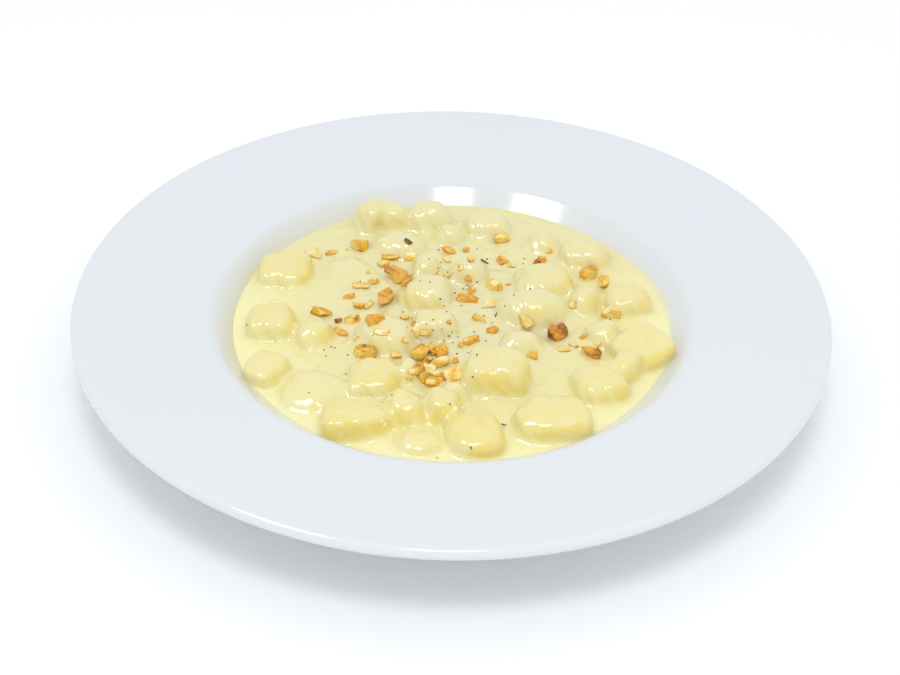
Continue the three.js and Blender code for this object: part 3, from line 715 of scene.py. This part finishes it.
kernel, tree = new_material("walnut_kernel")
place = add(tree, "TexCoord").outputs["Object"]
facet = add(tree, "Attribute", attribute_name="facet").outputs["Fac"]
cloud = add(tree, "TexNoise", {
    "Vector": place, "Scale": 1000 / OIL_CLOUD, "Detail": 4.0, "Roughness": 0.6})
shift = add(tree, "MapRange", {
    "Value": cloud.outputs["Fac"], "From Min": 0.3, "From Max": 0.7, "To Min": -0.18, "To Max": 0.18})
blend = add(tree, "Math", {0: facet, 1: shift.outputs["Result"]}, operation="ADD", use_clamp=True)
tone = add(tree, "ValToRGB", {"Fac": blend.outputs["Value"]}, stops=[
    (0.0, linear("#f5e6b4")), (0.25, linear("#f2d578")), (0.5, linear("#edba3e")),
    (0.7, linear("#de9d28")), (0.85, linear("#a86524")), (1.0, linear("#70421f"))])
crumb = add(tree, "TexNoise", {"Vector": place, "Scale": 1000 / CRUMB_WIDE, "Detail": 3.0})
relief = add(tree, "Bump", {
    "Height": crumb.outputs["Fac"], "Strength": 0.8, "Distance": 0.001 * CRUMB_DEEP})
shader = add(tree, "BsdfPrincipled", {
    "Base Color": tone.outputs["Color"], "Roughness": 0.32, "IOR": 1.46, "Normal": relief.outputs["Normal"]})
add(tree, "OutputMaterial", {"Surface": shader.outputs["BSDF"]})


def chopped(size, kind, seed, rings, columns):
    """A chopped piece about the origin: along each direction of a sphere the surface is at the nearest of
    some cutting planes, eased where two meet by a power mean, and hollowed by bites
    exp((cosine - 1) / width) about some directions. Returns its points and how each is coloured."""
    draw = np.random.default_rng(seed)
    normals = draw.normal(size=(CUTS + BITES, 3))
    normals /= np.linalg.norm(normals, axis=1, keepdims=True)
    cuts, bites = np.concatenate([normals[:CUTS], np.eye(3), -np.eye(3)]), normals[CUTS:]
    away = np.concatenate([draw.uniform(CUT_NEAR, CUT_FAR, CUTS), draw.uniform(BOX_NEAR, BOX_FAR, 6)])
    shade = draw.choice(TONES[kind], size=CUTS + 6)
    polar = np.linspace(0, np.pi, rings + 2)[1:-1, None]
    angle = np.linspace(0, 2 * np.pi, columns, endpoint=False)[None]
    height = np.cos(polar) + 0 * angle
    spot = np.stack([np.sin(polar) * np.cos(angle), np.sin(polar) * np.sin(angle), height], -1)
    spot = np.concatenate([[[0, 0, 1]], spot.reshape(-1, 3), [[0, 0, -1]]])
    weight = (away / np.maximum(spot @ cuts.T, GRAZING)) ** -float(CUT_SHARP)
    total = weight.sum(1)
    width = draw.uniform(BITE_TIGHT, BITE_WIDE, BITES)
    hollow = np.exp((spot @ bites.T - 1) / width) @ draw.uniform(BITE_SHALLOW, BITE_DEEP, BITES)
    radius = total ** (-1 / CUT_SHARP) * (1 - np.minimum(hollow, BITE_LIMIT))
    across = CRUMPLE_SPREAD * spot[:, 0] + CRUMPLE_ACROSS * spot[:, 2]
    along = CRUMPLE_SPREAD * spot[:, 1] + CRUMPLE_AWAY * spot[:, 2]
    radius *= 1 + CRUMPLE * waves(across, along, CRUMPLE_CREST, seed)
    tint = (weight @ shade) / total
    ridge = 1 - weight.max(1) / total
    tint = tint + EDGE_BROWN * ridge * draw.uniform(0, 1) + BITE_BROWN * hollow
    return spot * radius[:, None] * np.array(size) / 2, tint


for i, (length, width, thick, turn, tilt, kind) in enumerate(WALNUTS):
    name = f"walnut_{i + 1:02d}"
    low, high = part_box(name)
    body, tint = chopped((length, width, thick), kind, i + WALNUT_SEED, WALNUT_RINGS, WALNUT_COLUMNS)
    points = body @ turning(turn, tilt, turn + TILT_ASIDE).T + np.array((low + high) / 2) * 1000
    piece = make_piece(f"walnut_piece_{i + 1:02d}", points, closed_faces(WALNUT_RINGS, WALNUT_COLUMNS),
                       kernel, {"facet": tint})
    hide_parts(name)


# ---- Walnut bits: the smaller crumbs of the same chopping, strewn with the larger ones and half sunk in the
# cream. A row is the place in the view, in pixels across and down, then length, width and thickness in mm,
# turn and colouring.
WALNUT_BITS = [
    (331, 254, 7, 4, 3, 10, "rust"), (368, 273, 2.2, 2, 1.8, 0, "pale"), (374, 282, 4, 3.5, 2.5, 40, "gold"),
    (362, 287, 9, 4, 2.6, 5, "pale"), (350, 297, 5, 3, 2.5, 20, "rust"), (368, 307, 6, 2.4, 2.5, 60, "gold"),
    (359, 307, 6, 4, 3, 60, "gold"), (391, 258, 8, 3.5, 2.6, -5, "gold"), (385, 264, 6, 5, 3.5, 30, "gold"),
    (407, 282, 7.5, 4.5, 3, 30, "gold"), (410, 257, 5.5, 4, 1.6, 0, "pale"),
    (408, 243, 2.4, 4, 2, 80, "dark"), (440, 275, 5, 3, 2.5, -20, "gold"),
    (449, 251, 8.5, 4, 3, -40, "rust"), (446, 261, 4, 3, 1.8, 10, "pale"),
    (465, 251, 3.2, 2.6, 2, 0, "gold"), (471, 260, 3.6, 3.4, 2.8, 20, "gold"),
    (461, 268, 3.4, 3.4, 1.6, 15, "pale"), (468, 277, 3.2, 2.8, 2.2, 0, "gold"),
    (502, 262, 7, 5, 3.5, 35, "gold"), (511, 266, 4, 3, 1.6, -10, "pale"),
    (508, 285, 2.4, 1.6, 1.4, 0, "gold"), (472, 292, 3.6, 4, 3, 0, "gold"),
    (467, 299, 9.5, 5, 4, -5, "rust"), (549, 251, 3, 2.6, 1.6, 0, "pale"),
    (574, 306, 3.8, 3.6, 1.8, 20, "pale"), (338, 322, 3.4, 3, 2.6, 0, "skin"),
    (352, 321, 6.5, 5.5, 3.5, 10, "gold"), (341, 334, 6, 3.6, 3, -10, "gold"),
    (382, 333, 6.5, 3.4, 1.4, -10, "pale"), (405, 319, 3.2, 4.5, 3, 80, "gold"),
    (414, 324, 3.2, 2, 1.6, 20, "gold"), (416, 334, 3.4, 2, 1.6, -30, "gold"),
    (425, 332, 5.5, 3, 2, 10, "pale"), (404, 341, 4, 2, 1.8, -35, "gold"), (397, 356, 5, 2.6, 3, 0, "gold"),
    (417, 368, 6.5, 5.5, 4.5, 40, "gold"), (427, 371, 7, 4.5, 4, -20, "pale"),
    (438, 365, 8, 5, 4, 30, "pale"), (435, 376, 8.5, 4, 3.6, -10, "pale"), (434, 384, 8, 5, 4, 10, "gold"),
    (425, 380, 4, 2.6, 2.6, 70, "rust"), (449, 373, 7, 4.5, 4, 60, "gold"),
    (479, 320, 5.5, 4, 2.6, -15, "gold"), (493, 331, 6, 4, 3.2, 30, "rust"),
    (470, 342, 7, 4.5, 3.5, 45, "gold"), (461, 346, 3, 2, 2, 0, "rust"),
    (531, 356, 4.6, 3.8, 2.4, 0, "gold"), (585, 337, 5, 1.8, 1.8, 10, "gold"),
    (574, 346, 4.6, 2, 1.8, -20, "gold"), (564, 350, 4.6, 3, 1.4, 0, "pale"),
    (598, 345, 3.4, 2, 1.6, 15, "pale"), (357, 338, 3, 1.8, 1.6, 0, "pale"),
    (449, 322, 2.6, 1.8, 1.6, 0, "gold"), (455, 362, 3.4, 2.4, 2, 30, "gold"),
    (484, 262, 5, 1, 1, -40, "dark"), (450, 276, 4, 1.6, 1.6, 25, "gold"),
    (420, 353, 10, 4.5, 4, 62, "rust"), (434, 352, 7, 5, 4, 80, "gold"), (412, 371, 4, 3, 3, 20, "pale"),
    (421, 378, 4.5, 3, 3, -30, "gold"), (431, 384, 4, 3, 2.6, 15, "pale"),
    (444, 378, 4, 3, 2.6, -10, "gold"), (451, 381, 3.6, 3, 2.6, 30, "pale"), (409, 377, 3, 2, 2, 0, "pale"),
    (428, 362, 6, 4, 3.6, 50, "gold"),
]
TONES.update({"rust": (0.35, 0.5, 0.6, 0.7), "dark": (0.9, 0.95, 1.0, 1.0)})
BIT_LIFT, BIT_RINGS, BIT_COLUMNS, BIT_SEED = 0.22, 16, 24, 100
FOCAL = LENS / SENSOR * VIEW_WIDE
LOOK_FROM, LOOK_TO, LOOK_STEPS, LOOK_HALVINGS = 48, 17, 130, 12


def lands(pixels):
    """Where the view's lines through some pixels first meet the skin, in mm, with the skin's normals there:
    steps down each line from LOOK_FROM to LOOK_TO until it is under the skin, then halves the last step."""
    offset = (np.asarray(pixels, float) - [VIEW_WIDE / 2, VIEW_HIGH / 2]) * [1, -1] / FOCAL
    ways = np.column_stack([offset, -np.ones(len(offset))]) @ np.array(turned.to_3x3()).T
    eye = np.array(EYE) * 1000
    start, end = (LOOK_FROM - eye[2]) / ways[:, 2], (LOOK_TO - eye[2]) / ways[:, 2]
    steps = start[:, None] + (end - start)[:, None] * np.linspace(0, 1, LOOK_STEPS)
    height = above_skin((eye + ways[:, None] * steps[..., None]).reshape(-1, 3)).reshape(steps.shape)
    first = np.argmax(height < 0, axis=1)
    row = np.arange(len(steps))
    near, far = steps[row, first - 1], steps[row, first]
    for _ in range(LOOK_HALVINGS):
        middle = (near + far) / 2
        inside = above_skin(eye + ways * middle[:, None]) < 0
        near, far = np.where(inside, near, middle), np.where(inside, middle, far)
    spots = eye + ways * far[:, None]
    return spots, skin_normals(spots)


def strewn(rows, lift, rings, columns, seed):
    """Many chopped pieces as one mesh: each is turned, stood on the skin's normal at its pixel and lifted by
    a share of its thickness."""
    spots, normals = lands([row[:2] for row in rows])
    points, faces, tints = [], [], []
    each = closed_faces(rings, columns)
    for i, (row, spot, normal) in enumerate(zip(rows, spots, normals)):
        length, width, thick, turn, kind = row[2:]
        body, tint = chopped((length, width, thick), kind, seed + i, rings, columns)
        stand = np.array(Vector((0, 0, 1)).rotation_difference(Vector(normal)).to_matrix())
        body = body @ (stand @ turning(turn, 0, 0)).T + spot + normal * lift * thick
        faces.append([face + i * len(body) for face in each])
        points.append(body)
        tints.append(tint)
    return np.concatenate(points), [np.concatenate(kind) for kind in zip(*faces)], np.concatenate(tints)


points, faces, tint = strewn(WALNUT_BITS, BIT_LIFT, BIT_RINGS, BIT_COLUMNS, BIT_SEED)
make_piece("walnut_bits", points, faces, kernel, {"facet": tint})


# ---- Black pepper: coarsely cracked corns, mostly over the middle of the plate. A row is a place in the
# view, in pixels across and down, and the speck's length in mm.
PEPPER = [
    (347, 250, 0.7), (360, 282, 0.8), (364, 284, 0.9), (371, 301, 0.9), (429, 259, 0.7), (438, 268, 0.7),
    (439, 250, 0.9), (441, 263, 0.8), (448, 272, 0.8), (420, 281, 0.7), (430, 282, 0.7), (440, 299, 0.9),
    (455, 293, 1.0), (463, 289, 0.9), (467, 285, 0.6), (477, 249, 0.7), (477, 282, 0.8), (487, 259, 1.0),
    (524, 259, 0.7), (523, 264, 0.7), (530, 289, 0.7), (514, 295, 0.7), (505, 306, 0.7), (589, 266, 0.8),
    (496, 315, 1.9), (447, 312, 0.8), (450, 324, 0.9), (433, 320, 0.7), (433, 330, 0.8), (449, 336, 0.9),
    (442, 329, 0.6), (412, 331, 0.7), (417, 336, 0.7), (412, 318, 0.8), (403, 312, 0.7), (421, 340, 0.7),
    (421, 349, 0.9), (444, 341, 0.9), (453, 343, 0.7), (457, 354, 0.8), (477, 355, 1.0), (474, 332, 0.8),
    (484, 316, 0.8), (475, 314, 0.7), (492, 323, 0.9), (473, 377, 0.8), (335, 348, 0.7), (331, 347, 0.8),
    (324, 350, 0.6), (326, 356, 0.6), (348, 355, 0.8), (346, 374, 0.7), (373, 335, 0.7), (309, 393, 0.6),
    (247, 325, 0.6), (450, 404, 0.8), (471, 448, 1.1), (503, 425, 2.0), (437, 458, 0.6), (392, 395, 0.7),
    (610, 320, 0.7), (457, 299, 0.7), (461, 306, 0.8), (444, 306, 0.6), (452, 332, 0.6), (458, 337, 0.8),
    (427, 324, 0.6), (407, 327, 0.5), (468, 353, 0.7), (486, 341, 0.7),
]
SPECK_LONG, SPECK_WIDE, SPECK_WIDEST, SPECK_THICK, SPECK_TURN = 1.25, 0.65, 0.7, 0.5, 47
SPECK_LIFT, SPECK_RINGS, SPECK_COLUMNS, SPECK_SEED = 0.3, 5, 8, 300

# Pepper: black husk and dark grey-brown core, wrinkled, dull and rough.
WRINKLE_WIDE = 0.667

husk, tree = new_material("cracked_black_pepper")
place = add(tree, "TexCoord").outputs["Object"]
wrinkle = add(tree, "TexNoise", {"Vector": place, "Scale": 1000 / WRINKLE_WIDE, "Detail": 2.0})
tone = add(tree, "ValToRGB", {"Fac": wrinkle.outputs["Fac"]}, stops=[
    (0.35, linear("#241f17")), (0.65, linear("#57503c"))])
shader = add(tree, "BsdfPrincipled", {"Base Color": tone.outputs["Color"], "Roughness": 0.6})
add(tree, "OutputMaterial", {"Surface": shader.outputs["BSDF"]})

specks = [
    (*pixel, SPECK_LONG * long, min(SPECK_WIDE * long, SPECK_WIDEST), SPECK_THICK, SPECK_TURN * i, "dark")
    for i, (*pixel, long) in enumerate(PEPPER)]
points, faces, _ = strewn(specks, SPECK_LIFT, SPECK_RINGS, SPECK_COLUMNS, SPECK_SEED)
make_piece("black_pepper", points, faces, husk)


# ---- Foam: a few bubbles that whisking left in the cream, thin domes half out of it. A row is the place in
# the view, in pixels across and down, and the bubble's width in mm.
BUBBLES = [
    (456, 409, 2.4), (460, 413, 1.8), (463, 408, 2.2), (466, 411, 1.6), (452, 412, 1.4), (469, 405, 1.3),
    (459, 404, 1.2), (444, 405, 1.2), (385, 425, 1.6), (382, 421, 1.2),
]
BUBBLE_RISE, BUBBLE_RINGS, BUBBLE_COLUMNS = 0.7, 12, 20

# Foam film: cream stretched thin and very glossy. Low round its rim it is painted paler than on top: a
# painted highlight ring.
foam, tree = new_material("cream_foam")
painted_glint_height = add(tree, "Attribute", attribute_name="painted_glint_height").outputs["Fac"]
tone = add(tree, "ValToRGB", {"Fac": painted_glint_height}, stops=[(0.2, linear("#faf6d2")), (0.75, linear("#ebe5b2"))])
shader = add(tree, "BsdfPrincipled", {"Base Color": tone.outputs["Color"], "Roughness": 0.05, "IOR": 1.4})
add(tree, "OutputMaterial", {"Surface": shader.outputs["BSDF"]})

polar = np.linspace(0, np.pi, BUBBLE_RINGS + 2)[1:-1]
ball = turned_grid(np.stack([np.sin(polar), np.cos(polar)], -1), BUBBLE_COLUMNS)
ball = closed_points((0, 0, 1), ball, (0, 0, -1))
points, faces, painted_glint_heights = [], [], []
for i, (row, spot, normal) in enumerate(zip(BUBBLES, *lands([row[:2] for row in BUBBLES]))):
    stand = np.array(Vector((0, 0, 1)).rotation_difference(Vector(normal)).to_matrix())
    points.append((ball * [1, 1, BUBBLE_RISE]) @ stand.T * row[2] / 2 + spot)
    faces.append([face + i * len(ball) for face in closed_faces(BUBBLE_RINGS, BUBBLE_COLUMNS)])
    # Each point's height in its bubble, which paints the paler highlight ring low round the rim.
    painted_glint_heights.append(ball[:, 2])
faces = [np.concatenate(kind) for kind in zip(*faces)]
make_piece("cream_bubbles", np.concatenate(points), faces, foam,
           {"painted_glint_height": np.concatenate(painted_glint_heights)})


# ---- Floor: a plain white table top.
TABLE_LEFT, TABLE_RIGHT, TABLE_NEAR, TABLE_FAR = -4, 4, -3, 5
TOP_CLOUD = 333

# White lacquer: matt and even, so that it only takes the plate's soft shadow.
top_coat, tree = new_material("white_table_top")
place = add(tree, "TexCoord").outputs["Object"]
cloud = add(tree, "TexNoise", {"Vector": place, "Scale": 1000 / TOP_CLOUD, "Detail": 2.0})
white = add(tree, "Mix", {
    "Factor": cloud.outputs["Fac"], "A": linear("#fbfbfb"), "B": linear("#fdfdfd")}, data_type="RGBA")
shader = add(tree, "BsdfPrincipled", {
    "Base Color": white.outputs["Result"], "Roughness": 0.9, "Specular IOR Level": 0.0})
add(tree, "OutputMaterial", {"Surface": shader.outputs["BSDF"]})
floor_mesh = bpy.data.meshes.new("table_top")
corners = [(TABLE_LEFT, TABLE_NEAR, 0), (TABLE_RIGHT, TABLE_NEAR, 0),
           (TABLE_RIGHT, TABLE_FAR, 0), (TABLE_LEFT, TABLE_FAR, 0)]
floor_mesh.from_pydata(corners, [], [(0, 1, 2, 3)])
floor_mesh.materials.append(top_coat)
floor = bpy.data.objects.new("table_top", floor_mesh)
bpy.context.scene.collection.objects.link(floor)


# ---- Light: a pale studio all round and two round soft lamps high up: one over the camera, and one to its
# left that only glints in the wet cream and the glaze. A row is the way to the lamp, how far and how wide it
# is, its power, and whether it lights all.
SKY_STRENGTH = 0.97

world = bpy.data.worlds.new("studio")
world.use_nodes = True
world.node_tree.nodes["Background"].inputs["Color"].default_value = linear("#f7fafe")
world.node_tree.nodes["Background"].inputs["Strength"].default_value = SKY_STRENGTH
bpy.context.scene.world = world

LAMPS = [((0.0, -0.44, 0.90), 1.05, 0.27, 2.4, True), ((-0.47, -0.28, 0.84), 1.05, 0.32, 7.0, False)]
for i, (towards, far, wide, power, lights_all) in enumerate(LAMPS):
    lamp = bpy.data.lights.new(f"soft_lamp_{i + 1}", "AREA")
    lamp.shape, lamp.size, lamp.energy = "DISK", wide, power
    lamp.color = linear("#fffdf8")[:3]
    stand = bpy.data.objects.new(f"soft_lamp_{i + 1}", lamp)
    stand.location = Vector(towards).normalized() * far
    stand.rotation_euler = (-stand.location).to_track_quat("-Z", "Y").to_euler()
    stand.visible_diffuse = lights_all
    bpy.context.scene.collection.objects.link(stand)

bpy.context.scene.view_settings.view_transform = "Standard"
